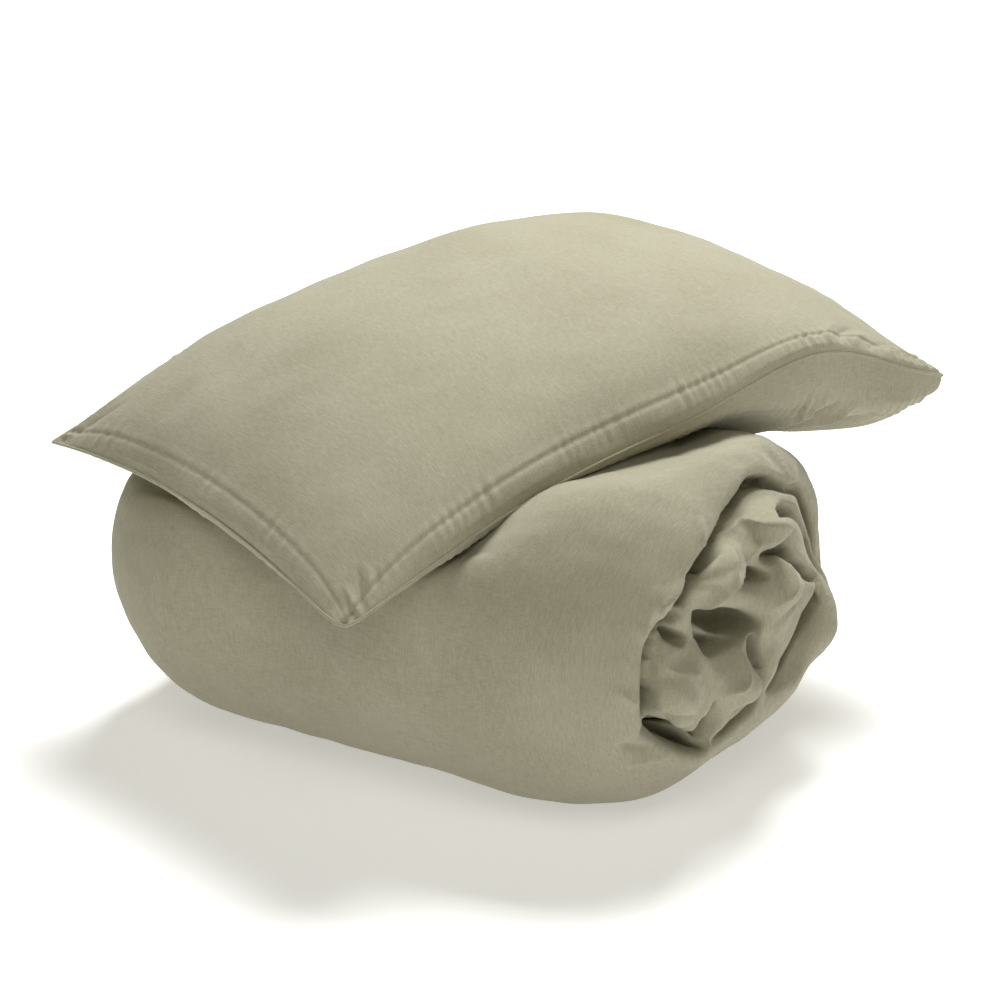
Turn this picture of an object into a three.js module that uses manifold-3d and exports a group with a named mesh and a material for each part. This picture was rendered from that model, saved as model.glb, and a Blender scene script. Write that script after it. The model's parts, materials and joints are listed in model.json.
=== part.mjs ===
// A duvet in its linen cover, folded in thirds and rolled up, with a matching cased pillow lying across it.
// Millimetres, +X along the roll, +Y to its back, +Z up. The set stands on Z = 0, centred on the origin.
import * as THREE from 'three';
import { mergeVertices } from 'three/addons/utils/BufferGeometryUtils.js';
import Module from 'manifold-3d';

const wasm = await Module();
wasm.setup();

// Duvet, one layer of it
const LOFT = 12.6; // filling of one layer, pressed by the rolling
const TICKING = 0.8; // the duvet's own cotton casing
const COVER = 1.0; // linen cover
const CLEAR = 0.4; // between cloths that lie on each other
const LAYER_GAP = 1.0; // between the three folded layers
const TURN_GAP = 0.8; // between two turns of the roll

// Duvet, folded and rolled
const STRIP_WIDTH = 660; // a third of the duvet's width
const FLAT_RUN = 106; // straight stretch under and over the roll
const FULL_ARCS = 5; // half turns before the last one
const TAIL_ANGLE = 95; // the last arc, in degrees, ends on the back of the roll
const ARC_STEPS = 5; // facets of a half turn
const FOLD_STEPS = 3; // facets of a fold
const SEAM = 2; // width of the cover's side and head seams
const PIPING = 2.5; // radius of the piping round the ticking
const TIE_ROOM = 12; // space past the duvet's ends where the corner ties lie
const TIE = { length: 60, width: 8, thickness: 1, fromEdge: 12 };

// Closure across the tail
const BAND = 1.2; // button band, buttonhole band
const CLOTH_GAP = 0.5; // between the closure's pieces
const CLOSURE_INSET = 115; // the opening is in the middle of the foot edge, short of its rounded ends
const FLAP = { thickness: 1.5, width: 72, seamWidth: 16 };
const BUTTON = { radius: 9, thickness: 2.5, hole: 1.1, holeSpacing: 4.4, pitch: 150, count: 3 };
const BUTTONHOLE = { length: 22, width: 4 };
const SHANK = 1.2; // radius of the thread shank under a button

// Pillow
const PILLOW = { length: 700, width: 452, crown: 95, belly: 52, pull: 14 };
// sink is how far the pillow's middle lies below the roll's top
const PILLOW_PLACE = { x: -17, y: 72, sink: 18.4, yaw: 70, pitch: 6.3, roll: 5.6, droop: 36 };
const CASE = 1.2; // linen pillowcase
const CASE_GAP = 1.0; // between the pillow's cloths
const PILLOW_TICKING = 1.0;
const EDGE_GAP = 0.9; // half the gap between an upper and a lower cloth at their edge
const RIM = 0.3; // height of a cloth's cut edge at the seam
const CORNER_SLACK = 5; // extra inset of a cloth's corners, as a multiple of its inset
const SEAM_RISE = 9; // the pillow's edge above what it lies on
const REST_GAP = 0.5; // pillow above the roll
const SEAM_WIDTH = 1.5;
const SEAM_HALF_HEIGHT = 2.0;
const HEM_WIDTH = 3;
const CELL = 58; // one patch of a pillow cloth, along it
const CELL_ACROSS = 45;
const TUCK_CELLS = 3; // how far the inner flap reaches in, in grid cells
const SOFTNESS = 22; // rounding where the pillow starts to lean on the roll
const DRAPE = 1.7; // the underside's radius over the roll's, so that it falls away slower
const LEAN = 280; // distance past the roll's top where it has fallen twice as far

const LINEN = { color: 0xa8a288, roughness: 0.92 };
const COTTON = { color: 0xe9e6dc, roughness: 0.9 };
const WADDING = { color: 0xf6f5f0, roughness: 1.0 };
const SHELL = { color: 0x8d7a5c, roughness: 0.55 };
const THREAD = { color: 0xb5ae95, roughness: 0.8 };

// Sizes that follow
const half = LOFT / 2;
const ticking = { inner: half + CLEAR, outer: half + CLEAR + TICKING };
const cover = { inner: ticking.outer + CLEAR, outer: ticking.outer + CLEAR + COVER };
const layerPitch = 2 * cover.outer + LAYER_GAP;
const stack = 3 * layerPitch - LAYER_GAP;
const turnPitch = stack + TURN_GAP;
const foldX = STRIP_WIDTH / 2 - layerPitch / 2 - cover.outer;
const arcRadius = (n) => (turnPitch * (n + 1)) / 2;
const frontRadius = arcRadius(FULL_ARCS - 1) + stack / 2;
const tailRadius = arcRadius(FULL_ARCS) + stack / 2;
const rollTop = 2 * arcRadius(FULL_ARCS - 1) + stack;
const rollMiddle = (tailRadius - frontRadius) / 2; // of the roll's depth, from the middle of the flat run
const ALONG = Math.round(PILLOW.length / CELL); // patches along a pillow cloth
const ACROSS = Math.round(PILLOW.width / CELL_ACROSS);
const CELLS = { along: ALONG, across: ACROSS };
const radians = THREE.MathUtils.degToRad;

// The middle line of the rolled strip: flat runs joined by half turns, from the core to the tail.
function rollStations() {
  const stations = [];
  const side = (n) => (n % 2 === FULL_ARCS % 2 ? 1 : -1); // +1 for an arc at the back
  let height = stack / 2;
  for (let n = FULL_ARCS - 2; n >= 0; n -= 1) height += side(n) * 2 * arcRadius(n);
  let travelled = 0;
  for (let n = 0; n <= FULL_ARCS; n += 1) {
    const back = side(n);
    const centre = new THREE.Vector3(0, (back * FLAT_RUN) / 2, height - back * arcRadius(n));
    const angle = n === FULL_ARCS ? radians(TAIL_ANGLE) : Math.PI;
    const steps = Math.ceil((ARC_STEPS * angle) / Math.PI);
    if (n === 0) stations.push(station(0, 0, (-back * FLAT_RUN) / 2, height, new THREE.Vector3(0, back, 0)));
    travelled += FLAT_RUN;
    for (let i = 0; i <= steps; i += 1) {
      const a = Math.min(angle, (Math.PI * i) / ARC_STEPS); // turns then have parallel facets
      const out = new THREE.Vector3(0, back * Math.sin(a), back * Math.cos(a));
      const point = centre.clone().addScaledVector(out, arcRadius(n));
      const tangent = new THREE.Vector3(0, back * Math.cos(a), -back * Math.sin(a));
      stations.push(station(travelled + arcRadius(n) * a, point.x, point.y, point.z, tangent));
    }
    travelled += arcRadius(n) * angle;
    height -= back * 2 * arcRadius(n);
  }
  return stations;
}

function station(at, x, y, z, tangent) {
  return { at, point: new THREE.Vector3(x, y - rollMiddle, z), tangent };
}

const stations = rollStations();
const stripLength = stations[stations.length - 1].at;

// A stretch of the strip, from one distance along it to another.
class StripPath extends THREE.Curve {
  constructor(from, to) {
    super();
    const between = stations.filter((s) => s.at > from + 1 && s.at < to - 1);
    this.stops = [stationAt(from), ...between, stationAt(to)];
  }

  stop(t) {
    return this.stops[Math.round(t * (this.stops.length - 1))];
  }

  getPoint(t) {
    return this.stop(t).point.clone();
  }

  getPointAt(t) {
    return this.getPoint(t);
  }

  getTangent(t) {
    return this.stop(t).tangent.clone();
  }

  getTangentAt(t) {
    return this.getTangent(t);
  }

  // Section x always runs to -X, so section y points away from the core.
  computeFrenetFrames() {
    const tangents = this.stops.map((s) => s.tangent.clone());
    const normals = tangents.map(() => new THREE.Vector3(-1, 0, 0));
    const binormals = tangents.map((t, i) => new THREE.Vector3().crossVectors(t, normals[i]));
    return { tangents, normals, binormals };
  }
}

// The station at a distance, on the facet between its neighbours, so its tangent is a little short.
function stationAt(distance) {
  const next = Math.max(1, stations.findIndex((s) => s.at >= distance));
  const [a, b] = [stations[next - 1], stations[next]];
  const share = (distance - a.at) / (b.at - a.at);
  const point = a.point.clone().lerp(b.point, share);
  const tangent = a.tangent.clone().lerp(b.tangent, share);
  return { at: distance, point, tangent };
}

// A section of the strip, swept along the roll
function swept(outline, from, to) {
  const path = new StripPath(from, to);
  const shape = new THREE.Shape(outline);
  return new THREE.ExtrudeGeometry(shape, { extrudePath: path, steps: path.stops.length - 1 });
}

// The line of a cloth through the three folded layers, at a height above the middle of its layer.
function foldedLine(height, inset) {
  const points = [new THREE.Vector2(-STRIP_WIDTH / 2 + inset, -layerPitch + height)];
  for (let i = 0; i <= FOLD_STEPS; i += 1) {
    const a = -Math.PI / 2 + (Math.PI * i) / FOLD_STEPS;
    const r = layerPitch / 2 - height;
    points.push(new THREE.Vector2(foldX + r * Math.cos(a), -layerPitch / 2 + r * Math.sin(a)));
  }
  for (let i = 0; i <= FOLD_STEPS; i += 1) {
    const a = -Math.PI / 2 - (Math.PI * i) / FOLD_STEPS;
    const r = layerPitch / 2 + height;
    points.push(new THREE.Vector2(-foldX + r * Math.cos(a), layerPitch / 2 + r * Math.sin(a)));
  }
  points.push(new THREE.Vector2(STRIP_WIDTH / 2 - inset, layerPitch + height));
  return points;
}

function foldedBand(low, high, inset) {
  return [...foldedLine(low, inset), ...foldedLine(high, inset).reverse()];
}

function rectangle(x0, x1, y0, y1) {
  const corners = [[x0, y0], [x1, y0], [x1, y1], [x0, y1]];
  return corners.map(([x, y]) => new THREE.Vector2(x, y));
}

function hexagon(x, y, radius) {
  const corners = [0, 1, 2, 3, 4, 5].map((i) => (i * Math.PI) / 3);
  return corners.map((a) => new THREE.Vector2(x + radius * Math.cos(a), y + radius * Math.sin(a)));
}

function mesh(name, geometry, finish) {
  const part = new THREE.Mesh(geometry, new THREE.MeshStandardMaterial({ metalness: 0, ...finish }));
  part.name = name;
  return part;
}

// Filling, ticking and piping: the duvet itself
function duvet() {
  const group = new THREE.Group();
  const coverEdge = SEAM + CLEAR;
  const pipingAt = coverEdge + PIPING;
  const tickingEdge = pipingAt + PIPING + CLEAR;
  const fillingEdge = tickingEdge + CLEAR;
  const [start, end] = [coverEdge + TIE_ROOM, stripLength - TIE_ROOM];
  const [clothStart, clothEnd] = [start + TICKING + CLEAR, end - TICKING - CLEAR];
  const filling = foldedBand(-half, half, fillingEdge);
  group.add(mesh('duvet_filling', swept(filling, clothStart, clothEnd), WADDING));
  const top = foldedBand(ticking.inner, ticking.outer, tickingEdge);
  group.add(mesh('duvet_ticking_top', swept(top, clothStart, clothEnd), COTTON));
  const bottom = foldedBand(-ticking.outer, -ticking.inner, tickingEdge);
  group.add(mesh('duvet_ticking_bottom', swept(bottom, clothStart, clothEnd), COTTON));
  const ends = foldedBand(-ticking.outer, ticking.outer, tickingEdge);
  group.add(mesh('duvet_piping_head', swept(ends, start, start + TICKING), COTTON));
  group.add(mesh('duvet_piping_foot', swept(ends, end - TICKING, end), COTTON));
  for (const [name, side] of [['a', -1], ['b', 1]]) {
    const x = side * (STRIP_WIDTH / 2 - pipingAt);
    const piping = hexagon(x, side * layerPitch, PIPING);
    group.add(mesh(`duvet_piping_side_${name}`, swept(piping, start, end), COTTON));
    for (const [corner, from] of [['head', coverEdge + 1], ['foot', stripLength - 1 - TIE.width]]) {
      const near = side * (STRIP_WIDTH / 2 - TIE.fromEdge);
      const far = near - side * TIE.length;
      const [low, high] = [side * layerPitch - TIE.thickness / 2, side * layerPitch + TIE.thickness / 2];
      const tie = rectangle(Math.min(near, far), Math.max(near, far), low, high);
      group.add(mesh(`corner_tie_${corner}_${name}`, swept(tie, from, from + TIE.width), LINEN));
    }
  }
  return group;
}

// The linen cover: two panels joined by seams at the sides and the head, open at the foot
function duvetCover() {
  const group = new THREE.Group();
  const edge = SEAM + CLEAR;
  const front = foldedBand(cover.inner, cover.outer, edge);
  group.add(mesh('cover_front_panel', swept(front, edge, stripLength), LINEN));
  const back = foldedBand(-cover.outer, -cover.inner, edge);
  group.add(mesh('cover_back_panel', swept(back, edge, stripLength), LINEN));
  group.add(mesh('cover_seam_head', swept(foldedBand(-cover.outer, cover.outer, edge), 0, SEAM), LINEN));
  for (const [name, side] of [['a', -1], ['b', 1]]) {
    const [near, far] = [side * (STRIP_WIDTH / 2), side * (STRIP_WIDTH / 2 - SEAM)];
    const [low, high] = [side * layerPitch - cover.outer, side * layerPitch + cover.outer];
    const seam = rectangle(Math.min(near, far), Math.max(near, far), low, high);
    group.add(mesh(`cover_seam_side_${name}`, swept(seam, 0, stripLength), LINEN));
  }
  return group;
}

// The closure's levels above the tail's outer surface
const buttonBand = { low: tailRadius + CLOTH_GAP, high: tailRadius + CLOTH_GAP + BAND };
const holeBand = { low: buttonBand.high + CLOTH_GAP, high: buttonBand.high + CLOTH_GAP + BAND };
const buttonLow = holeBand.high + CLOTH_GAP;
const flapLow = buttonLow + BUTTON.thickness + CLOTH_GAP;
const flapHigh = flapLow + FLAP.thickness;
const tailEnd = radians(TAIL_ANGLE) - CLOTH_GAP / tailRadius;
const hingeAngle = tailEnd - FLAP.width / tailRadius;
const tailCentre = { y: FLAT_RUN / 2 - rollMiddle, z: rollTop - stack / 2 - arcRadius(FULL_ARCS) };

// A cloth bent round the tail between two radii and two angles from the roll's top, along X
function bentCloth(low, high, from, to, length) {
  const [a0, a1] = [Math.PI / 2 - from, Math.PI / 2 - to];
  const shape = new THREE.Shape();
  shape.absarc(tailCentre.y, tailCentre.z, high, a1, a0, false);
  shape.absarc(tailCentre.y, tailCentre.z, low, a0, a1, true);
  const geometry = new THREE.ExtrudeGeometry(shape, { depth: length, bevelEnabled: false, curveSegments: 6 });
  geometry.translate(0, 0, -length / 2);
  const axes = new THREE.Matrix4().makeBasis(
    new THREE.Vector3(0, 1, 0),
    new THREE.Vector3(0, 0, 1),
    new THREE.Vector3(1, 0, 0),
  );
  return geometry.applyMatrix4(axes);
}

// A group on the tail whose +Z points straight out of the roll
function onTail(x, radius, angle) {
  const place = new THREE.Group();
  place.position.set(x, tailCentre.y + radius * Math.sin(angle), tailCentre.z + radius * Math.cos(angle));
  place.rotation.x = -angle;
  return place;
}

function solid(geometry) {
  const bare = geometry.clone();
  bare.deleteAttribute('normal');
  bare.deleteAttribute('uv');
  const merged = mergeVertices(bare, 1e-3);
  const options = {
    numProp: 3,
    vertProperties: new Float32Array(merged.attributes.position.array),
    triVerts: new Uint32Array(merged.index.array),
  };
  return new wasm.Manifold(new wasm.Mesh(options));
}

function geometryOf(manifold) {
  const { vertProperties, triVerts } = manifold.getMesh();
  const geometry = new THREE.BufferGeometry();
  geometry.setAttribute('position', new THREE.BufferAttribute(new Float32Array(vertProperties), 3));
  geometry.setIndex(new THREE.BufferAttribute(new Uint32Array(triVerts), 1));
  return geometry;
}

function buttonShape() {
  const shape = new THREE.Shape();
  shape.absarc(0, 0, BUTTON.radius, 0, 2 * Math.PI, false);
  for (const x of [-1, 1]) {
    for (const y of [-1, 1]) {
      const hole = new THREE.Path();
      hole.absarc((x * BUTTON.holeSpacing) / 2, (y * BUTTON.holeSpacing) / 2, BUTTON.hole, 0, 2 * Math.PI, true);
      shape.holes.push(hole);
    }
  }
  return shape;
}

// Button band, buttonhole band, buttons, and the flap that hides them
function closure() {
  const group = new THREE.Group();
  const length = STRIP_WIDTH - 2 * CLOSURE_INSET;
  const bandStart = hingeAngle + (CLOTH_GAP + BUTTONHOLE.width) / tailRadius;
  const buttonAngle = (bandStart + tailEnd) / 2;
  const band = bentCloth(buttonBand.low, buttonBand.high, bandStart, tailEnd, length);
  group.add(mesh('cover_button_band', band, LINEN));
  let holes = solid(bentCloth(holeBand.low, holeBand.high, bandStart, tailEnd, length));
  for (let i = 0; i < BUTTON.count; i += 1) {
    const x = (i - (BUTTON.count - 1) / 2) * BUTTON.pitch;
    const slot = new THREE.BoxGeometry(BUTTONHOLE.length, BUTTONHOLE.width, 4 * BAND);
    const cutter = onTail(x, (holeBand.low + holeBand.high) / 2, buttonAngle);
    cutter.updateMatrix();
    holes = holes.subtract(solid(slot.applyMatrix4(cutter.matrix)));
    const place = onTail(x, buttonLow, buttonAngle);
    const options = { depth: BUTTON.thickness, bevelEnabled: false, curveSegments: 8 };
    place.add(mesh(`cover_button_${i + 1}`, new THREE.ExtrudeGeometry(buttonShape(), options), SHELL));
    const shankLength = buttonLow - buttonBand.high - 2 * CLEAR;
    const shank = new THREE.CylinderGeometry(SHANK, SHANK, shankLength, 8);
    shank.rotateX(Math.PI / 2).translate(0, 0, -CLEAR - shankLength / 2);
    place.add(mesh(`button_shank_${i + 1}`, shank, THREAD));
    group.add(place);
  }
  group.add(mesh('cover_buttonhole_band', geometryOf(holes), LINEN));
  const seamStart = hingeAngle - FLAP.seamWidth / tailRadius;
  const seamEnd = hingeAngle - CLOTH_GAP / tailRadius;
  const flapSeam = bentCloth(buttonBand.low, flapHigh, seamStart, seamEnd, length);
  group.add(mesh('flap_seam', flapSeam, LINEN));
  group.add(mesh('button_flap', bentCloth(flapLow, flapHigh, hingeAngle, tailEnd, length), LINEN));
  return group;
}

// How the pillow lies: a tilted plane that bends down at its ends and leans on the roll
const pillowAxes = new THREE.Matrix4().makeRotationFromEuler(
  new THREE.Euler(radians(PILLOW_PLACE.roll), radians(-PILLOW_PLACE.pitch), radians(PILLOW_PLACE.yaw), 'ZYX'),
);
const underCrown = (u, v) => Math.sqrt((1 - Math.abs(u) ** 2.2) * (1 - Math.abs(v) ** 2.2));

// The lowest that the pillow's underside may be: flat over the roll, and falling away slower than it does
function restHeight(y) {
  const halfCell = ((Math.PI / 4) * PILLOW.length) / CELLS.along; // a facet may cut the corner by this much
  const [front, back] = [-FLAT_RUN / 2 - rollMiddle - halfCell, FLAT_RUN / 2 - rollMiddle + halfCell];
  const past = y < front ? front - y : Math.max(0, y - back);
  const radius = DRAPE * (y < front ? frontRadius : tailRadius);
  return rollTop + REST_GAP - (past ** 2 / (2 * radius)) * (1 + (past / LEAN) ** 2);
}

// A point of the pillow: u and v run from -1 to 1, side is +1 on the top, -1 on the underside and 0 on the
// surface between them that holds the seam, inset is the depth inside the case, and edge a step up or down.
function pillowPoint(u, v, side, inset, edge) {
  const depth = inset * (1 + CORNER_SLACK * (u * v) ** 6); // what is inside doesn't fill the corners
  const along = u * (PILLOW.length / 2 - PILLOW.pull * (1 - v * v) - depth);
  const across = v * (PILLOW.width / 2 - PILLOW.pull * (1 - u * u) - depth);
  const point = new THREE.Vector3(along, across, -PILLOW_PLACE.droop * u * u).applyMatrix4(pillowAxes);
  point.add(new THREE.Vector3(PILLOW_PLACE.x, PILLOW_PLACE.y, rollTop - PILLOW_PLACE.sink));
  const plane = point.z;
  const rest = restHeight(point.y);
  const gap = plane - rest - SEAM_RISE;
  const seam = plane + (Math.sqrt(gap * gap + SOFTNESS * SOFTNESS) - gap) / 2;
  const crown = underCrown(u, v);
  point.z = seam + edge;
  if (side > 0) point.z = seam + (PILLOW.crown - inset - (seam - plane)) * crown + edge;
  if (side < 0) point.z = Math.max(seam - (PILLOW.belly - inset) * crown + edge, rest + inset);
  return point;
}

// A box whose top and bottom faces become two surfaces of the pillow
function pillowSolid(top, bottom, range = [-1, 1], cells = CELLS.along) {
  const geometry = new THREE.BoxGeometry(2, 2, 2, cells, CELLS.across, 1);
  const place = geometry.attributes.position;
  const spread = (s) => Math.sin((s * Math.PI) / 2);
  for (let i = 0; i < place.count; i += 1) {
    const along = range[0] + ((place.getX(i) + 1) / 2) * (range[1] - range[0]);
    const surface = place.getZ(i) > 0 ? top : bottom;
    const u = spread(along);
    const v = spread(place.getY(i));
    const point = pillowPoint(u, v, surface.side, surface.inset, surface.edge);
    place.setXYZ(i, point.x, point.y, point.z);
  }
  return geometry;
}

// A cloth on one side of the pillow: the half pillow under it, less a smaller one that cuts it hollow
function pillowCloth(name, side, inset, thickness, finish, range, cells) {
  const half = (depth, edge, seamEdge) => {
    const surface = { side, inset: depth, edge: side * edge };
    const seam = { side: 0, inset: depth, edge: side * seamEdge };
    const faces = side > 0 ? [surface, seam] : [seam, surface];
    return solid(pillowSolid(...faces, range, cells));
  };
  const cloth = half(inset, EDGE_GAP + RIM, EDGE_GAP).subtract(half(inset + thickness, EDGE_GAP, -thickness));
  return mesh(name, geometryOf(cloth), finish);
}

// A strip along one edge of the pillow: offsets from that edge, outwards, and heights about the seam.
// The edge is the side of the u, v square that middle points at.
function edgeStrip(name, middle, offsets, heights, finish) {
  const alongU = middle.u === 0;
  const cells = alongU ? CELLS.along : CELLS.across;
  const geometry = new THREE.BoxGeometry(2, 2, 2, cells, 1, 1);
  const place = geometry.attributes.position;
  const outwards = new THREE.Vector3(middle.u, middle.v, 0).applyMatrix4(pillowAxes).setZ(0).normalize();
  for (let i = 0; i < place.count; i += 1) {
    const t = Math.sin((place.getX(i) * Math.PI) / 2);
    // The box's own sides keep facing out when its length follows the edge clockwise.
    const u = alongU ? -t * middle.v : middle.u;
    const v = alongU ? middle.v : t * middle.u;
    const point = pillowPoint(u, v, 1, 0, 0);
    point.addScaledVector(outwards, place.getY(i) > 0 ? offsets[0] : offsets[1]);
    point.z += place.getZ(i) > 0 ? heights[1] : heights[0];
    place.setXYZ(i, point.x, point.y, point.z);
  }
  return mesh(name, geometry, finish);
}

function pillow() {
  const group = new THREE.Group();
  const tuck = CASE + CASE_GAP;
  const casing = tuck + CASE + CASE_GAP;
  const filling = casing + PILLOW_TICKING + CASE_GAP;
  const faces = [1, -1].map((side) => ({ side, inset: filling, edge: side * EDGE_GAP }));
  group.add(mesh('pillow_filling', pillowSolid(...faces), WADDING));
  group.add(pillowCloth('pillow_ticking_top', 1, casing, PILLOW_TICKING, COTTON));
  group.add(pillowCloth('pillow_ticking_bottom', -1, casing, PILLOW_TICKING, COTTON));
  group.add(pillowCloth('pillowcase_front', 1, 0, CASE, LINEN));
  group.add(pillowCloth('pillowcase_back', -1, 0, CASE, LINEN));
  const reach = [1 - (2 * TUCK_CELLS) / CELLS.along, 1];
  group.add(pillowCloth('pillowcase_tuck_flap', 1, tuck, CASE, LINEN, reach, TUCK_CELLS));
  const sides = { near: { u: 0, v: -1 }, far: { u: 0, v: 1 }, closed: { u: -1, v: 0 }, open: { u: 1, v: 0 } };
  const seam = [CLEAR, CLEAR + SEAM_WIDTH];
  const seamHeights = [-SEAM_HALF_HEIGHT, SEAM_HALF_HEIGHT];
  for (const side of ['near', 'far', 'closed']) {
    group.add(edgeStrip(`pillowcase_seam_${side}`, sides[side], seam, seamHeights, LINEN));
  }
  const hem = [CLEAR, CLEAR + HEM_WIDTH];
  group.add(edgeStrip('pillowcase_hem_front', sides.open, hem, [EDGE_GAP, SEAM_HALF_HEIGHT], LINEN));
  group.add(edgeStrip('pillowcase_hem_back', sides.open, hem, [-SEAM_HALF_HEIGHT, -EDGE_GAP], LINEN));
  return group;
}

const set = new THREE.Group();
set.add(duvet(), duvetCover(), closure(), pillow());

// The set stands on Z = 0, with the middle of its box over the origin.
const box = new THREE.Box3().setFromObject(set);
const middle = box.getCenter(new THREE.Vector3());
set.position.set(-middle.x, -middle.y, -box.min.z);

export default set;
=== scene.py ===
# %% [markdown]
# # A rolled duvet with a cased pillow
# This lesson builds a duvet in a washed linen cover, folded in thirds and rolled up, with one pillow
# in a matching case lying across it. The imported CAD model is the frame: it fixes the sizes, the
# places and the bodies that move. Each step below makes one soft piece or one finish.

import json
import math

import bpy
import numpy as np
from mathutils import Matrix, Vector
from mathutils.bvhtree import BVHTree

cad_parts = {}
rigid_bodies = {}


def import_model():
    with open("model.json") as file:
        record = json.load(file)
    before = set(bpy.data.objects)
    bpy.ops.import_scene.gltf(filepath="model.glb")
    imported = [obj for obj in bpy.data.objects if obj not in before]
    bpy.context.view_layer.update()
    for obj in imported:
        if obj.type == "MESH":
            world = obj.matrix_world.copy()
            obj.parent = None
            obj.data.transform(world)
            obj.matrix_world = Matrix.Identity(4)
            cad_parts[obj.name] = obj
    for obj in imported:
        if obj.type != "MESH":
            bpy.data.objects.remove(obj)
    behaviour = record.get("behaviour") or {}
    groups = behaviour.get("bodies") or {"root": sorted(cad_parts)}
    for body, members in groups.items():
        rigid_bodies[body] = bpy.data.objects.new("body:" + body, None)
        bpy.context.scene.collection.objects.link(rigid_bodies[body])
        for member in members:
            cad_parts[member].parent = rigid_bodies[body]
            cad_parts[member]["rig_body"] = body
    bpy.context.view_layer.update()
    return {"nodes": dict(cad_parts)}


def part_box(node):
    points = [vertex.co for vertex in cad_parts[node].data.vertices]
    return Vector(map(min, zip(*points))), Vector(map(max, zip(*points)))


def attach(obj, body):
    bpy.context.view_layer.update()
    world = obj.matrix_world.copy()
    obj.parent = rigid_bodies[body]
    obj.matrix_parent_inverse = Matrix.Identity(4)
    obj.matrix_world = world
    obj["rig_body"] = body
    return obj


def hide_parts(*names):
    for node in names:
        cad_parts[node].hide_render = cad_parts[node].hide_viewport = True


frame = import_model()
MM = 0.001

# %% [markdown]
# ## The camera
# The set is seen from its front right, from a little above, with a long lens.

# %% Camera
AZIMUTH, ELEVATION, DISTANCE = math.radians(31.6), math.radians(20.9), 2.753
LENS_MM = 108.9
RIGHT = Vector((math.cos(AZIMUTH), math.sin(AZIMUTH), 0))
TO_CAMERA = Vector((math.sin(AZIMUTH) * math.cos(ELEVATION),
                    -math.cos(AZIMUTH) * math.cos(ELEVATION), math.sin(ELEVATION)))
UP = TO_CAMERA.cross(RIGHT)
MIDDLE_X = 0.011  # of the roll's length
TARGET = Vector((MIDDLE_X, -0.0776, 0.27)) + RIGHT * 0.022 - UP * 0.045

camera = bpy.data.objects.new("camera", bpy.data.cameras.new("camera"))
bpy.context.scene.collection.objects.link(camera)
camera.data.lens = LENS_MM
camera.data.sensor_width = 36
turn = Matrix((RIGHT, UP, TO_CAMERA)).transposed().to_4x4()
camera.matrix_world = Matrix.Translation(TARGET + TO_CAMERA * DISTANCE) @ turn
bpy.context.scene.camera = camera
print("camera at", [round(c, 3) for c in camera.matrix_world.translation])

# %% [markdown]
# ## Colours and nodes
# Colours are given as sRGB hex values and made linear in one place, and one helper adds every node.

# %% Colours and nodes
def linear(hex_colour):
    """An sRGB hex colour as linear red, green, blue and alpha."""
    parts = [int(hex_colour[i:i + 2], 16) / 255 for i in (1, 3, 5)]
    return [p / 12.92 if p <= 0.04045 else ((p + 0.055) / 1.055) ** 2.4 for p in parts] + [1]


def add(tree, kind, values=(), links=(), **settings):
    """Adds a node: values are (socket, value) pairs and links are (socket, other node's output)."""
    made = tree.nodes.new(kind)
    for name, value in settings.items():
        setattr(made, name, value)
    for socket, value in values:
        made.inputs[socket].default_value = value
    for socket, output in links:
        tree.links.new(output, made.inputs[socket])
    return made


# %% [markdown]
# ## The studio
# The floor is white paper that glows a little, and more far away, as a lit studio floor does. One soft
# light hangs high behind the set, a weaker one high in front, and a pale world fills the shadows.

# %% Floor, light and world
bpy.ops.object.select_all(action="DESELECT")
bpy.ops.mesh.primitive_plane_add(size=40, location=(0, 0, 0))
floor = bpy.context.object
floor.name = "studio_floor"
paper = bpy.data.materials.new("matt_paper_floor")
paper.use_nodes = True
matt = paper.node_tree.nodes["Principled BSDF"]
matt.inputs["Base Color"].default_value = linear("#FFFFFF")
matt.inputs["Roughness"].default_value = 0.9
matt.inputs["Emission Color"].default_value = linear("#FFFFFF")
reach = add(paper.node_tree, "ShaderNodeVectorMath", operation="LENGTH",
            links=[(0, add(paper.node_tree, "ShaderNodeTexCoord").outputs["Object"])])
ranges = [("From Min", 0.9), ("From Max", 2.6), ("To Min", 0.36), ("To Max", 1.0)]
glow = add(paper.node_tree, "ShaderNodeMapRange", ranges, [("Value", reach.outputs["Value"])])
paper.node_tree.links.new(glow.outputs["Result"], matt.inputs["Emission Strength"])
floor.data.materials.append(paper)

BACK = Vector((-RIGHT.y, RIGHT.x, 0))


def soft_light(name, place, size, power, colour):
    """A square area light at a place, aimed at the middle of the set."""
    light = bpy.data.objects.new(name, bpy.data.lights.new(name, "AREA"))
    light.data.size = size
    light.data.energy = power
    light.data.color = colour
    light.location = place
    light.rotation_euler = (TARGET - place).to_track_quat("-Z", "Y").to_euler()
    bpy.context.scene.collection.objects.link(light)
    return light


soft_light("key_light", TARGET + RIGHT * 0.35 + BACK * 1.0 + Vector((0, 0, 2.3)), 1.1, 92,
           (0.97, 0.98, 1.0))
soft_light("fill_light", TARGET - BACK * 2.2 + RIGHT * 0.1 + Vector((0, 0, 2.0)), 1.4, 17,
           (1.0, 0.99, 0.95))
world = bpy.data.worlds.new("pale_studio")
world.use_nodes = True
world.node_tree.nodes["Background"].inputs["Color"].default_value = linear("#F2ECCB")
world.node_tree.nodes["Background"].inputs["Strength"].default_value = 0.17
bpy.context.scene.world = world
bpy.context.scene.view_settings.view_transform = "Standard"
bpy.context.scene.view_settings.look = "None"

# %% [markdown]
# ## Helpers for soft shapes
# Soft goods are built as point arrays. A closed grid gives the rough volume, a voxel remesh joins
# volumes that overlap, as squashed layers do, and a cloth simulation with a little pressure gives the
# skin its own tension. Folds and creases are then drawn on the finished skin as strokes.

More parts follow.
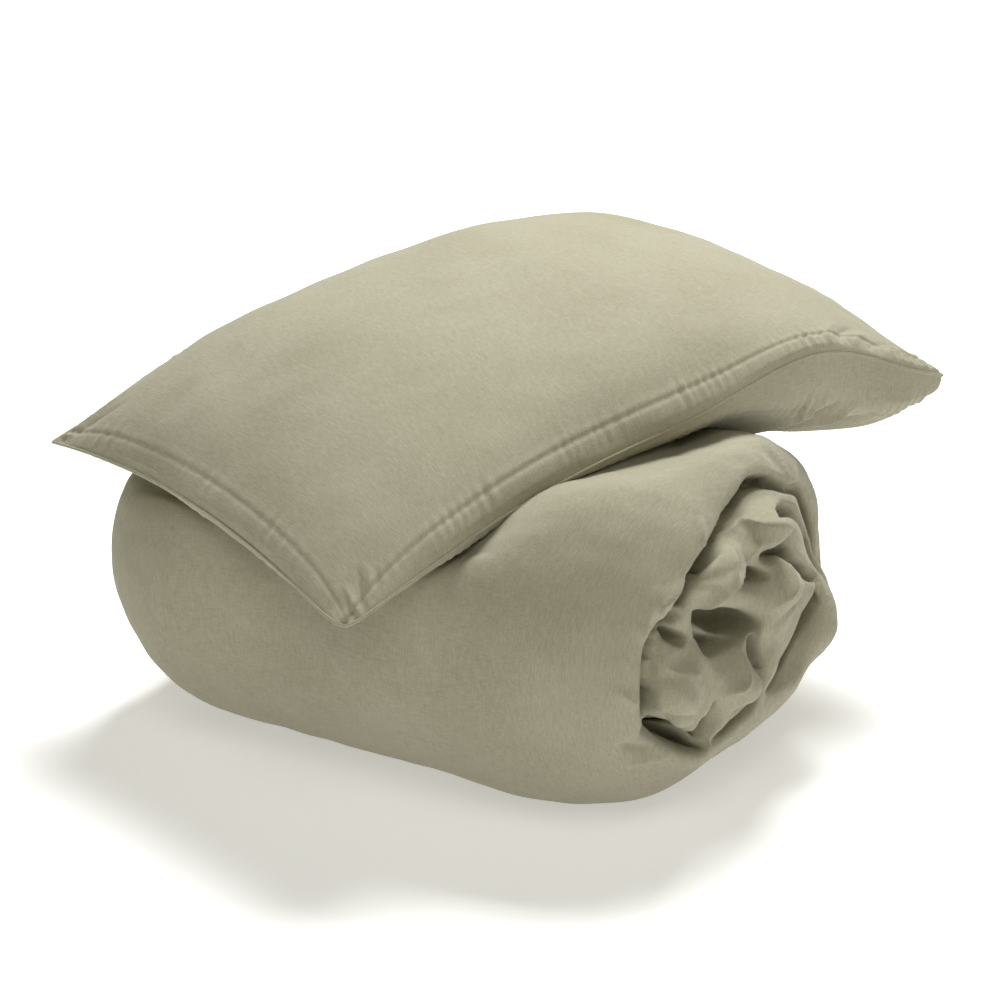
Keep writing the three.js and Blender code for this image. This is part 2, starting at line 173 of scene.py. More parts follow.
# %% Mesh helpers
def new_piece(name, points, faces):
    mesh = bpy.data.meshes.new(name)
    mesh.from_pydata(np.asarray(points, float).tolist(), [], faces)
    mesh.update()
    made = bpy.data.objects.new(name, mesh)
    bpy.context.scene.collection.objects.link(made)
    return made


def points_of(piece):
    flat = np.empty(len(piece.data.vertices) * 3)
    piece.data.vertices.foreach_get("co", flat)
    return flat.reshape(-1, 3)


def normals_of(piece):
    flat = np.empty(len(piece.data.vertices) * 3)
    piece.data.vertex_normals.foreach_get("vector", flat)
    return flat.reshape(-1, 3)


def move_points(piece, points):
    piece.data.vertices.foreach_set("co", np.ascontiguousarray(points).ravel())
    piece.data.update()


def apply_modifier(piece, kind, **settings):
    """Adds one modifier, applies it, and leaves nothing live on the piece."""
    bpy.ops.object.select_all(action="DESELECT")
    piece.select_set(True)
    bpy.context.view_layer.objects.active = piece
    modifier = piece.modifiers.new(kind.lower(), kind)
    for name, value in settings.items():
        setattr(modifier, name, value)
    bpy.ops.object.modifier_apply(modifier=modifier.name)


def shade_smooth(piece):
    piece.data.polygons.foreach_set("use_smooth", [True] * len(piece.data.polygons))


# %% [markdown]
# ## Cloth under pressure
# A filled skin is pushed out from inside and pulls itself smooth. Cloth does both in a few frames.

# %% Cloth pressure
def inflate(piece, pressure, cap, tension=15, frames=10, hold=None):
    """Cloth with a little pressure and no gravity; no point ends further than cap from its start.
    hold is a weight per point, 1 where the cloth may not move."""
    start = points_of(piece)
    cloth = piece.modifiers.new("cloth", "CLOTH")
    cloth.settings.quality = 3
    cloth.settings.mass = 0.25
    cloth.settings.tension_stiffness = tension
    cloth.settings.compression_stiffness = tension
    cloth.settings.bending_stiffness = 0.6
    cloth.settings.use_pressure = True
    cloth.settings.uniform_pressure_force = pressure
    cloth.settings.effector_weights.gravity = 0
    cloth.collision_settings.use_collision = False
    cloth.point_cache.frame_end = frames
    for number in range(1, frames + 1):
        bpy.context.scene.frame_set(number)
    shown = piece.evaluated_get(bpy.context.evaluated_depsgraph_get())
    flat = np.empty(len(piece.data.vertices) * 3)
    shown.data.vertices.foreach_get("co", flat)
    piece.modifiers.remove(cloth)
    bpy.context.scene.frame_set(1)
    moved = flat.reshape(-1, 3) - start
    far = np.linalg.norm(moved, axis=1, keepdims=True)
    moved *= np.minimum(1, cap / np.maximum(far, 1e-9))
    if hold is not None:
        moved *= (1 - hold)[:, None]
    move_points(piece, start + moved)
    print(f"{piece.name}: cloth moved {far.mean() * 1000:.1f} mm on average")


# %% [markdown]
# ## Strokes and ripples
# A stroke raises or lowers the skin along a line. Ripples are a faint unevenness all over.

# %% Strokes
def smooth_line(knots, steps=8):
    """A smooth line through a few knots, as a Catmull-Rom curve."""
    k = np.asarray(knots, float)
    k = np.vstack([2 * k[0] - k[1], k, 2 * k[-1] - k[-2]])
    out = []
    for a, b, c, d in zip(k, k[1:], k[2:], k[3:]):
        for t in np.linspace(0, 1, steps, endpoint=False):
            out.append(0.5 * (2 * b + (c - a) * t + (2 * a - 5 * b + 4 * c - d) * t**2
                              + (3 * b - a - 3 * c + d) * t**3))
    out.append(k[-2])
    return np.array(out)


def stroke(points, direction, line, width, height, power=1.6, fade=0.25):
    """Moves the points near a line along direction: a ridge where height is above 0, else a crease."""
    reach = 3.2 * width
    near = np.where(((points > line.min(0) - reach) & (points < line.max(0) + reach)).all(1))[0]
    if not len(near):
        return
    here = points[near]
    best = np.full(len(near), 1e9)
    along = np.zeros(len(near))
    for i, (a, b) in enumerate(zip(line, line[1:])):
        t = np.clip((here - a) @ (b - a) / max((b - a) @ (b - a), 1e-12), 0, 1)
        d = np.linalg.norm(here - a - t[:, None] * (b - a), axis=1)
        closer = d < best
        best[closer] = d[closer]
        along[closer] = (i + t[closer]) / (len(line) - 1)
    ends = np.sin(np.pi / 2 * np.clip(np.minimum(along, 1 - along) / fade, 0, 1))
    push = height * ends * np.exp(-((best / width) ** power))
    way = direction[near] if direction.ndim == 2 else direction
    points[near] += push[:, None] * way


def ripples(points, waves, seed, size, height):
    """A smooth random field: a few seeded waves of about one size, summed."""
    draw = np.random.default_rng(seed)
    field = np.zeros(len(points))
    for _ in range(waves):
        way = draw.normal(size=3)
        way *= 2 * math.pi / (size * draw.uniform(0.7, 1.5)) / np.linalg.norm(way)
        field += np.sin(points @ way + draw.uniform(0, 2 * math.pi))
    return height * field / math.sqrt(waves / 2)


# %% [markdown]
# ## The roll's line
# The duvet is folded in thirds into a strip about 66 cm wide and 55 mm thick, and the strip is rolled
# up from its head: flat runs over and under the core, joined by half turns that grow by one thickness
# each turn. The last one ends just past the back. The visible roll follows the same line as the CAD.

# %% Line of the strip
STACK, TURN = 55.4 * MM, 56.2 * MM
FLAT_RUN = 106 * MM
LAST_ARC, TAIL_ANGLE = 5, math.radians(95)
ROLL_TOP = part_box("cover_front_panel")[1].z
TAIL_RADIUS = TURN * (LAST_ARC + 1) / 2 + STACK / 2
TAIL_Z = ROLL_TOP - STACK / 2 - TURN * (LAST_ARC + 1) / 2
RUN_MIDDLE = -91.65 * MM
TAIL_MIDDLE = np.array([RUN_MIDDLE + FLAT_RUN / 2, TAIL_Z])
SAMPLE = 6 * MM


def roll_line():
    """The strip's middle line from core to tail: place (y, z), outward way (y, z) and half turns."""
    place, out, turns = [], [], []
    side = lambda n: 1 if n % 2 == LAST_ARC % 2 else -1
    radius = lambda n: TURN * (n + 1) / 2
    height = STACK / 2 + sum(side(n) * 2 * radius(n) for n in range(LAST_ARC - 1))
    for n in range(LAST_ARC + 1):
        back, r = side(n), radius(n)
        for t in np.linspace(0, 1, 18, endpoint=False):
            place.append((RUN_MIDDLE + back * FLAT_RUN * (t - 0.5), height))
            out.append((0, back))
            turns.append(n - 0.12 + 0.24 * t)
        angle = TAIL_ANGLE if n == LAST_ARC else math.pi
        for a in np.linspace(0, angle, max(8, int(angle * r / SAMPLE)), endpoint=n == LAST_ARC):
            way = np.array((back * math.sin(a), back * math.cos(a)))
            middle = np.array((RUN_MIDDLE + back * FLAT_RUN / 2, height - back * r))
            place.append(middle + r * way)
            out.append(way)
            turns.append(n + 0.12 + 0.76 * a / math.pi)
        height -= back * 2 * r
    return np.array(place), np.array(out), np.array(turns)


line_place, line_out, line_turns = roll_line()
print("roll line:", len(line_place), "stations, last at", line_place[-1].round(4))

# %% [markdown]
# ## The rolled duvet
# The layers are soft, so at the roll's ends they bulge, curl over and slump. The strip is
# swept along the line with a rounded section, and the strip's ends differ at each turn.

# %% Ends of the strip at each turn
def along(turns, knots):
    """A value that changes with the half turns, given at a few of them."""
    k = np.array(sorted(knots))
    return np.interp(turns, k[:, 0], k[:, 1])


# Half turns and the strip's right end there, in millimetres: 4.5 is the front of the outer layer
RIGHT_END = [(0, 296), (1.0, 318), (1.5, 322), (2.0, 312), (2.5, 300), (3.0, 302), (3.5, 304),
             (4.0, 286), (4.5, 277), (5.0, 283), (5.53, 284)]
RIGHT_CURL = [(0, 0), (2.5, 0), (3.0, 4), (3.5, 30), (4.0, 38), (4.5, 46), (5.0, 44), (5.53, 38)]
LEFT_END = [(0, -290), (1.5, -306), (3.0, -300), (3.6, -300), (4.0, -296), (5.53, -296)]
LEFT_CURL = [(0, 0), (2.0, 0), (3.0, 20), (3.5, 50), (4.0, 74), (4.5, 80), (5.53, 72)]
CURL_LENGTH = 150 * MM


def section(left, right, left_curl, right_curl, thick):
    """The strip's outline at one station, as (x, out): its top, right end, underside and left end."""
    end = 34 * MM
    t = np.linspace(0, 1, 34)
    top = np.column_stack([left + end + (right - left - 2 * end) * t, np.full(34, thick)])
    a = np.linspace(math.pi / 2, -math.pi / 2, 13)[1:-1]
    cap = np.column_stack([right - end + end * np.cos(a), thick * np.sin(a)])
    under = top[::-1] * (1, -1)
    cap_left = np.column_stack([left + end - end * np.cos(a[::-1]), thick * np.sin(a[::-1])])
    outline = np.vstack([top, cap, under, cap_left])
    x = outline[:, 0]
    to_right = np.clip((x - (right - CURL_LENGTH)) / CURL_LENGTH, 0, 1)
    to_left = np.clip(((left + CURL_LENGTH) - x) / CURL_LENGTH, 0, 1)
    outline[:, 1] -= right_curl * to_right**2.3 + left_curl * to_left**2.3
    return outline


def strip_mesh():
    """The strip swept along the roll's line, closed at the core and at the tail."""
    length = np.concatenate([[0], np.cumsum(np.linalg.norm(np.diff(line_place, axis=0), axis=1))])
    rings = []
    for i, (place, out, turns) in enumerate(zip(line_place, line_out, line_turns)):
        nearest_end = min(length[i], length[-1] - length[i])
        full = math.sqrt(max(0.02, 1 - (1 - min(1, nearest_end / (18 * MM))) ** 2))
        thick = STACK / 2 * full * 1.03
        if turns > LAST_ARC - 0.88:
            thick = STACK / 2 * full
        outline = section(along(turns, LEFT_END) * MM, along(turns, RIGHT_END) * MM,
                          along(turns, LEFT_CURL) * MM, along(turns, RIGHT_CURL) * MM, thick)
        rings.append(np.column_stack([outline[:, 0], place[0] + out[0] * outline[:, 1],
                                      place[1] + out[1] * outline[:, 1]]))
    return closed_tube(rings)


def closed_tube(rings):
    """A closed skin through rings of points, with a fan at each end and its faces outwards."""
    count, size = len(rings), len(rings[0])
    points = np.vstack(rings + [rings[0].mean(0), rings[-1].mean(0)])
    faces = [(r * size + j, r * size + (j + 1) % size, (r + 1) * size + (j + 1) % size, (r + 1) * size + j)
             for r in range(count - 1) for j in range(size)]
    last = (count - 1) * size
    faces += [(count * size, (j + 1) % size, j) for j in range(size)]
    faces += [(count * size + 1, last + j, last + (j + 1) % size) for j in range(size)]
    volume = sum(points[f[0]] @ np.cross(points[f[i]], points[f[i + 1]])
                 for f in faces for i in range(1, len(f) - 1))
    if volume < 0:
        faces = [f[::-1] for f in faces]
    return points, faces


# %% [markdown]
# ## Places on the roll's end
# The end is round, so places on it are given as on a clock face: an hour and a share of the radius.

# %% Places on the roll's end
END_MIDDLE = np.array([-77.6, 163.0]) * MM
END_HALF = np.array([233.0, 169.0]) * MM


def clock(hour, share):
    """(y, z) on the roll's end: an hour on a clock face seen from +X, and a share of its radius."""
    a = math.pi / 2 - hour * math.pi / 6
    return END_MIDDLE + share * (1 - 0.12 * share) * END_HALF * (math.cos(a), math.sin(a))


# %% [markdown]
# ## The roll's rough volume
# The swept strip and a packed core are joined by a voxel remesh.

# %% Rolled duvet: rough volume
def core_dome():
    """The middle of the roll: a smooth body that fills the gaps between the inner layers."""
    rings = []
    for t in np.linspace(-1, 1, 60):
        x = (11 + 308 * t) * MM
        size = (1 - abs(t) ** 6) ** 0.5 * 0.80 + 0.02
        a = np.linspace(0, 2 * math.pi, 64, endpoint=False)
        rings.append(np.column_stack([np.full(64, x), END_MIDDLE[0] + size * END_HALF[0] * np.cos(a),
                                      END_MIDDLE[1] + size * END_HALF[1] * np.sin(a)]))
    return closed_tube(rings)


def rough_roll():
    parts = [strip_mesh(), core_dome()]
    points, faces, first = [], [], 0
    for p, f in parts:
        points.append(p)
        faces += [tuple(first + i for i in face) for face in f]
        first += len(p)
    return new_piece("rolled_duvet", np.vstack(points), faces)


roll = rough_roll()
apply_modifier(roll, "REMESH", mode="VOXEL", voxel_size=5 * MM)
apply_modifier(roll, "SMOOTH", factor=0.5, iterations=8)
print("rolled duvet:", len(roll.data.vertices), "points after the remesh")

# %% [markdown]
# ## Layers at the roll's ends
# Where two layers meet, the skin first sinks in a soft valley. Between the valleys the layers bulge.

# %% Lines on the roll's end
def tree_of(piece):
    faces = [tuple(f.vertices) for f in piece.data.polygons]
    return BVHTree.FromPolygons([tuple(p) for p in points_of(piece)], faces)


def end_line(tree, knots, side=1):
    """A smooth line through (hour, share) places on the right end, or on the left end with side -1."""
    places = smooth_line([clock(h, s) for h, s in knots])
    hits = [tree.ray_cast(Vector((side * 0.6, y, z)), Vector((-side, 0, 0)))[0] for y, z in places]
    return np.array([h for h in hits if h is not None])


# Hours and shares of the radius, then the width and depth of the slit in mm
CREASES = [
    ([(1.8, 0.82), (0.6, 0.78), (11.8, 0.71), (10.9, 0.74), (10.3, 0.75), (10.05, 0.78)], 4.0, 38),
    ([(10.1, 0.72), (9.75, 0.78), (9.4, 0.79), (8.8, 0.78), (8.4, 0.78), (8.2, 0.77)], 5.0, 48),
    ([(8.45, 0.82), (8.1, 0.75), (7.7, 0.70), (7.3, 0.69)], 6.5, 58),
    ([(9.85, 0.79), (9.7, 0.70), (9.6, 0.60)], 3.8, 26),
    ([(7.4, 0.68), (7.6, 0.58), (7.9, 0.46)], 4.0, 26),
    ([(9.8, 0.58), (9.95, 0.42), (9.9, 0.26), (9.9, 0.12)], 8.0, 46),
    ([(9.7, 0.52), (9.3, 0.34), (9.6, 0.16)], 6.0, 34),
    ([(10.9, 0.55), (11.2, 0.42), (11.8, 0.32)], 4.0, 26),
    ([(11.7, 0.43), (0.6, 0.42), (1.8, 0.36), (2.6, 0.42)], 4.5, 30),
    ([(9.6, 0.14), (7.7, 0.16), (6.5, 0.35), (6.8, 0.52), (7.3, 0.66)], 4.2, 28),
    ([(6.6, 0.84), (6.0, 0.76), (5.0, 0.72), (4.0, 0.74), (3.2, 0.72)], 5.0, 30),
    ([(2.6, 0.42), (3.6, 0.36), (5.0, 0.34), (6.2, 0.36)], 4.2, 26),
    ([(3.2, 0.74), (2.2, 0.74), (1.4, 0.80)], 5.0, 34),
    ([(0.5, 0.60), (1.2, 0.63), (2.2, 0.58), (3.0, 0.54)], 4.0, 34),
]
LEFT_CREASES = [
    ([(4.8, 0.78), (3.2, 0.70), (1.6, 0.74), (0.2, 0.72), (10.6, 0.76), (9.0, 0.74), (8.0, 0.70)], 4.5, 32),
    ([(7.4, 0.72), (6.6, 0.66), (5.6, 0.72)], 4.0, 26),
    ([(8.6, 0.50), (10.0, 0.50), (11.6, 0.46), (1.2, 0.44), (2.8, 0.50), (4.0, 0.46)], 4.5, 30),
    ([(5.0, 0.44), (6.4, 0.38), (7.6, 0.42)], 4.0, 26),
    ([(9.2, 0.24), (11.0, 0.10), (2.6, 0.22)], 7.0, 36),
    ([(9.6, 0.70), (9.9, 0.60), (10.4, 0.52)], 3.8, 24),
    ([(1.9, 0.70), (2.2, 0.60), (2.1, 0.52)], 3.8, 24),
]
LOBES = [
    ([(10.2, 0.64), (10.8, 0.60), (11.4, 0.56)], 26, 16),
    ([(9.2, 0.67), (8.6, 0.64), (8.0, 0.66)], 26, 18),
    ([(11.8, 0.58), (0.4, 0.56)], 20, 16),
    ([(11.4, 0.22), (0.6, 0.18), (2.5, 0.16)], 24, 14),
    ([(7.2, 0.44), (6.8, 0.30), (5.4, 0.20)], 24, 12),
    ([(4.6, 0.55), (3.6, 0.55), (2.6, 0.56)], 26, 14),
    ([(0.9, 0.90), (11.9, 0.86), (10.8, 0.88), (9.9, 0.90), (9.0, 0.90), (8.2, 0.90)], 18, 12),
]


def shape_end(piece):
    tree = tree_of(piece)
    shaped = points_of(piece)
    for knots, width, height in LOBES:
        stroke(shaped, np.array([1.0, 0, 0]), end_line(tree, knots), width * MM, height * MM, 2, 0.4)
    inwards = -normals_of(piece)
    for knots, width, depth in CREASES:
        stroke(shaped, inwards, end_line(tree, knots), 3 * width * MM, 0.5 * depth * MM, 1.5, 0.3)
    for knots, width, depth in LEFT_CREASES:
        stroke(shaped, inwards, end_line(tree, knots, -1), 3 * width * MM, 0.6 * depth * MM, 1.5, 0.3)
    move_points(piece, shaped)


shape_end(roll)
apply_modifier(roll, "REMESH", mode="VOXEL", voxel_size=4.6 * MM)
apply_modifier(roll, "SMOOTH", factor=0.5, iterations=2)

# %% [markdown]
# ## The roll's skin
# After the cloth pressure the skin is made finer. Sharp ridges and narrow slits then mark the folds.

# %% Rolled duvet: skin
inflate(roll, pressure=4, cap=7 * MM)
apply_modifier(roll, "SUBSURF", levels=1, render_levels=1)
RIDGES = [
    ([(9.6, 0.58), (9.0, 0.52), (8.1, 0.55), (7.5, 0.67)], 6, 11),
    ([(9.9, 0.50), (10.6, 0.52), (11.2, 0.51), (0.3, 0.58)], 6, 10),
    ([(11.4, 0.66), (0.0, 0.60), (0.8, 0.52)], 5, 9),
    ([(10.5, 0.80), (10.1, 0.86), (9.9, 0.82)], 5, 8),
    ([(10.3, 0.92), (9.9, 0.88), (9.6, 0.86)], 5, 5),
    ([(9.1, 0.94), (8.9, 0.88), (8.8, 0.82)], 5, 4),
    ([(11.2, 0.90), (11.0, 0.84), (10.9, 0.78)], 5, 4),
    ([(9.4, 0.74), (9.1, 0.66), (9.0, 0.56)], 4, 5),
    ([(8.5, 0.74), (8.4, 0.66), (8.3, 0.58)], 4, -5),
    ([(10.5, 0.70), (10.5, 0.62), (10.6, 0.54)], 4, -5),
    ([(11.3, 0.66), (11.1, 0.58), (11.0, 0.52)], 4, -5),
    ([(0.6, 0.38), (0.4, 0.26), (11.0, 0.16)], 5, 6),
    ([(2.0, 0.34), (1.6, 0.20), (10.4, 0.08)], 4, -6),
    ([(7.9, 0.42), (7.6, 0.30), (9.2, 0.20)], 4, 6),
    ([(7.2, 0.50), (6.8, 0.40), (6.4, 0.28)], 4, -5),
    ([(8.3, 0.95), (8.1, 0.88), (7.9, 0.80)], 5, -6),
    ([(7.9, 0.95), (7.8, 0.86), (7.6, 0.78)], 5, 5),
]
skin = points_of(roll)
tree = tree_of(roll)
way = normals_of(roll)
for knots, width, height in RIDGES:
    stroke(skin, way, end_line(tree, knots), width * MM, height * MM, 1.2, 0.4)
for knots, width, depth in CREASES:
    stroke(skin, -way, end_line(tree, knots), width * MM, depth * MM, 1.8, 0.3)
for knots, width, depth in LEFT_CREASES:
    stroke(skin, -way, end_line(tree, knots, -1), width * MM, depth * MM, 1.8, 0.3)
uneven = ripples(skin, 14, 3, 0.11, 0.9 * MM) + ripples(skin, 24, 5, 0.035, 0.22 * MM)
skin += normals_of(roll) * uneven[:, None]
FLOOR_SOFT = 4 * MM
low = skin[:, 2] < FLOOR_SOFT
flat = FLOOR_SOFT + 3.7 * MM * np.tanh((skin[:, 2] - FLOOR_SOFT) / FLOOR_SOFT)
skin[:, 2] = np.where(low, flat, skin[:, 2])
move_points(roll, skin)
shade_smooth(roll)
print("rolled duvet:", len(roll.data.polygons), "faces")

# %% [markdown]
# ## The pillow
# A pillowcase is two flat linen panels joined round the edge. Filled, it crowns in the middle, its
# long and short sides pull in between the corners, and here it also bends over the roll. The upper
# and lower skins are grids over the case, which share their edge, where the seam is.

# %% Pillow shape
LENGTH, WIDTH = 700 * MM, 452 * MM
CROWN, BELLY, PULL = 95 * MM, 52 * MM, 14 * MM
DROOP, SINK = 36 * MM, 18.4 * MM
PILLOW_AT = np.array((-6.04, -5.6)) * MM
ARCH, HUMP, DENT, OPEN_BELLY = 18 * MM, 37 * MM, 38 * MM, 120 * MM
HUMP_AT, HUMP_LENGTH, OPEN_DENT = 0.57, 0.30, 30 * MM
turned = [Matrix.Rotation(math.radians(a), 3, axis) for a, axis in ((70, "Z"), (-6.3, "Y"), (5.6, "X"))]
PILLOW_AXES = np.array(turned[0] @ turned[1] @ turned[2])
FRONT_RADIUS = TURN * LAST_ARC / 2 + STACK / 2
ROLL_HALF, ROLL_END = 327 * MM, 150 * MM  # half the roll's length, and how far its round end reaches in


def roll_top(x, y):
    """Height of the roll's upper side: flat in the middle, round at the front, the back and both ends."""
    front, back = RUN_MIDDLE - FLAT_RUN / 2, RUN_MIDDLE + FLAT_RUN / 2
    past = np.where(y < front, front - y, np.maximum(0, y - back))
    radius = np.where(y < front, FRONT_RADIUS, TAIL_RADIUS)
    fall = radius - np.sqrt(np.maximum(0, radius**2 - past**2))
    end = np.clip((np.abs(x - MIDDLE_X) - (ROLL_HALF - ROLL_END)) / ROLL_END, 0, 1)
    return ROLL_TOP - fall - ROLL_END * (1 - np.sqrt(1 - end**2))


def pillow_skin(u, v, side):
    """Points of the pillow at u along it and v across it, both -1 to 1; side is 1 on top and -1 below."""
    u, v = np.broadcast_arrays(np.asarray(u, float), np.asarray(v, float))
    corner = np.hypot((1 - np.abs(u)) * LENGTH / 2, (1 - np.abs(v)) * WIDTH / 2)
    blunt = 13 * MM * np.exp(-corner / (17 * MM)) * ((1 - u) * (1 - v) / 4) ** 2
    flat = np.stack([u * (LENGTH / 2 - PULL * (1 - v * v) - blunt),
                     v * (WIDTH / 2 - PULL * (1 - u * u) - blunt), -DROOP * u * u], axis=-1)
    place = flat @ PILLOW_AXES.T
    place[..., 0] += PILLOW_AT[0]
    place[..., 1] += PILLOW_AT[1]
    lift = ARCH * (1 - u * u * v * v)
    lift = lift + HUMP * np.exp(-(((u - HUMP_AT) / HUMP_LENGTH) ** 2)) * ((1 - v) / 2) ** 1.5
    seam = place[..., 2] + ROLL_TOP - SINK + lift
    fall = np.maximum((1 - np.abs(u) ** 2.2) * (1 - np.abs(v) ** 2.2), 0)
    fall = fall * (1 - 0.8 * np.exp(-((corner / (44 * MM)) ** 2)))
    if side > 0:
        place[..., 2] = seam + (CROWN - lift) * fall**0.56
    else:
        open_end = 1 / (1 + np.exp(-(u - 0.40) / 0.07))
        belly = BELLY * fall**0.5 * (1 - open_end) + OPEN_BELLY * fall**0.24 * open_end
        rest = roll_top(place[..., 0], place[..., 1]) - DENT - OPEN_DENT * open_end
        place[..., 2] = np.minimum(seam - 1e-4 * fall, np.maximum(seam - belly, rest))
    return place


CELLS_ALONG, CELLS_ACROSS = 200, 132


def pillow_mesh():
    spread = lambda n: np.sin(np.linspace(-math.pi / 2, math.pi / 2, n + 1))
    u, v = np.meshgrid(spread(CELLS_ALONG), spread(CELLS_ACROSS), indexing="ij")
    top = pillow_skin(u, v, 1)
    low = pillow_skin(u, v, -1)
    edge = (np.abs(u) > 1 - 1e-9) | (np.abs(v) > 1 - 1e-9)
    number = np.arange(u.size).reshape(u.shape)
    under = np.where(edge, number, -1)
    under[~edge] = u.size + np.arange((~edge).sum())
    points = np.vstack([top.reshape(-1, 3), low[~edge]])
    uv = np.vstack([np.column_stack([u.ravel(), v.ravel()]), np.column_stack([u[~edge], v[~edge]])])
    quad = lambda n: [(n[i, j], n[i + 1, j], n[i + 1, j + 1], n[i, j + 1])
                      for i in range(CELLS_ALONG) for j in range(CELLS_ACROSS)]
    faces = [tuple(map(int, f)) for f in quad(number)] + [tuple(map(int, f[::-1])) for f in quad(under)]
    return points, faces, uv


pillow_points, pillow_faces, grid_uv = pillow_mesh()
pillow = new_piece("cased_pillow", pillow_points, pillow_faces)
from_edge = np.minimum((1 - np.abs(grid_uv[:, 0])) * LENGTH / 2, (1 - np.abs(grid_uv[:, 1])) * WIDTH / 2)
inflate(pillow, pressure=3, cap=5 * MM, hold=np.exp(-((from_edge / (26 * MM)) ** 2)))
apply_modifier(pillow, "SUBSURF", levels=1, render_levels=1)
shade_smooth(pillow)
print("pillow:", len(pillow.data.polygons), "faces")

# %% [markdown]
# ## Places on the pillow
# The rim's four lines are kept for the seams, and any point of the skin can be given its u and v.

# %% Edges of the pillow
last = CELLS_ACROSS + 1
RIM = {"near": [i * last for i in range(CELLS_ALONG + 1)],
       "far": [i * last + CELLS_ACROSS for i in range(CELLS_ALONG + 1)],
       "closed": list(range(last)),
       "open": [CELLS_ALONG * last + j for j in range(last)]}
rim_lines = {side: points_of(pillow)[numbers] for side, numbers in RIM.items()}


def pillow_uv(points):
    """The u and v of points on the pillow, found from their places in plan."""
    d = points[:, :2] - PILLOW_AT
    u, v = np.zeros(len(d)), np.zeros(len(d))
    inverse = np.linalg.inv(PILLOW_AXES[:2, :2])
    for _ in range(5):
        flat = (d + np.outer(DROOP * u * u, PILLOW_AXES[:2, 2])) @ inverse.T
        u = np.clip(flat[:, 0] / (LENGTH / 2 - PULL * (1 - v * v)), -1, 1)
        v = np.clip(flat[:, 1] / (WIDTH / 2 - PULL * (1 - u * u)), -1, 1)
    return u, v


def puckers(t, seed, size):
    """A row of small folds along t, in metres: a few seeded waves with long and short spells."""
    draw = np.random.default_rng(seed)
    field = sum(np.sin(2 * math.pi * t / (size * draw.uniform(0.7, 1.6)) + draw.uniform(0, 6.3))
                for _ in range(6))
    spell = 0.55 + 0.45 * np.sin(2 * math.pi * t / 0.13 + seed)
    return field / 2.4 * spell


def french_seam(inside, t, seed):
    """Height of the skin near a French seam: a flat band, a stitched groove and gathers across both."""
    band = 0.9 * MM / (1 + np.exp((inside - 11 * MM) / (0.8 * MM)))
    groove = -0.8 * MM * np.exp(-(((inside - 12.5 * MM) / (1.7 * MM)) ** 2))
    swell = 0.7 * MM * np.exp(-(((inside - 16 * MM) / (3 * MM)) ** 2))
    gathers = 0.9 * MM * puckers(t, seed, 0.012) * np.exp(-(((inside - 11 * MM) / (9 * MM)) ** 2))
    return band + groove + swell + gathers


# %% [markdown]
# ## Seams and hem
# A French seam is a flat band along the edge with a stitched groove and small gathers. The open end
# has a hem with one row of stitches.

# %% Seams and hem
skin, way = points_of(pillow), normals_of(pillow)
u, v = pillow_uv(skin)
height = french_seam((1 + v) * WIDTH / 2, u * LENGTH / 2, 11)
height += french_seam((1 - v) * WIDTH / 2, u * LENGTH / 2, 12)
height += 0.7 * french_seam((1 + u) * LENGTH / 2, v * WIDTH / 2, 13)
hem = (1 - u) * LENGTH / 2 - 30 * MM
height += -1.1 * MM * np.exp(-((hem / (1.8 * MM)) ** 2))
height += 1.0 * MM * puckers(v * WIDTH / 2, 14, 0.02) * np.exp(-((hem / (13 * MM)) ** 2))
height += ripples(skin, 12, 21, 0.15, 1.1 * MM) + ripples(skin, 20, 22, 0.05, 0.25 * MM)
rim_fade = np.clip(np.minimum((1 - np.abs(v)) * WIDTH / 2, (1 - np.abs(u)) * LENGTH / 2) / (3 * MM), 0, 1)
skin += way * (height * rim_fade)[:, None]

# %% [markdown]
# ## Folds on the pillow
# Cloth gathers at the corners and where the near seam turns over. Each fold is a line of (u, v)
# places with its width and height in millimetres.

# %% Folds on the pillow
TOP_FOLDS = [
    ([(-0.975, -0.985), (-0.945, -0.93), (-0.93, -0.86)], 3.5, 2.6),
    ([(-0.955, -0.985), (-0.915, -0.93), (-0.885, -0.85)], 3, -2.4),
    ([(-0.93, -0.985), (-0.89, -0.94), (-0.86, -0.88)], 3.5, 2.0),
    ([(-0.90, -0.99), (-0.87, -0.95), (-0.85, -0.91)], 2.5, -1.6),
    ([(0.60, -0.99), (0.63, -0.93), (0.70, -0.86)], 4.5, 3.2),
    ([(0.645, -0.99), (0.68, -0.93), (0.76, -0.87)], 3, -3.0),
    ([(0.69, -0.99), (0.73, -0.94), (0.82, -0.88)], 4.5, 3.0),
    ([(0.74, -0.99), (0.79, -0.95), (0.88, -0.90)], 3, -2.4),
    ([(0.80, -0.99), (0.86, -0.95), (0.94, -0.92)], 4, 2.2),
    ([(-0.97, 0.97), (-0.90, 0.90), (-0.80, 0.84)], 5, 2.4),
    ([(-0.985, 0.93), (-0.93, 0.86), (-0.86, 0.76)], 4, -2.0),
    ([(-0.98, -0.90), (-0.93, -0.80), (-0.84, -0.70)], 8, 1.6),
    ([(0.97, -0.90), (0.90, -0.78), (0.80, -0.64)], 8, -1.8),
    ([(0.98, 0.95), (0.92, 0.86), (0.82, 0.74)], 7, 2.2),
]
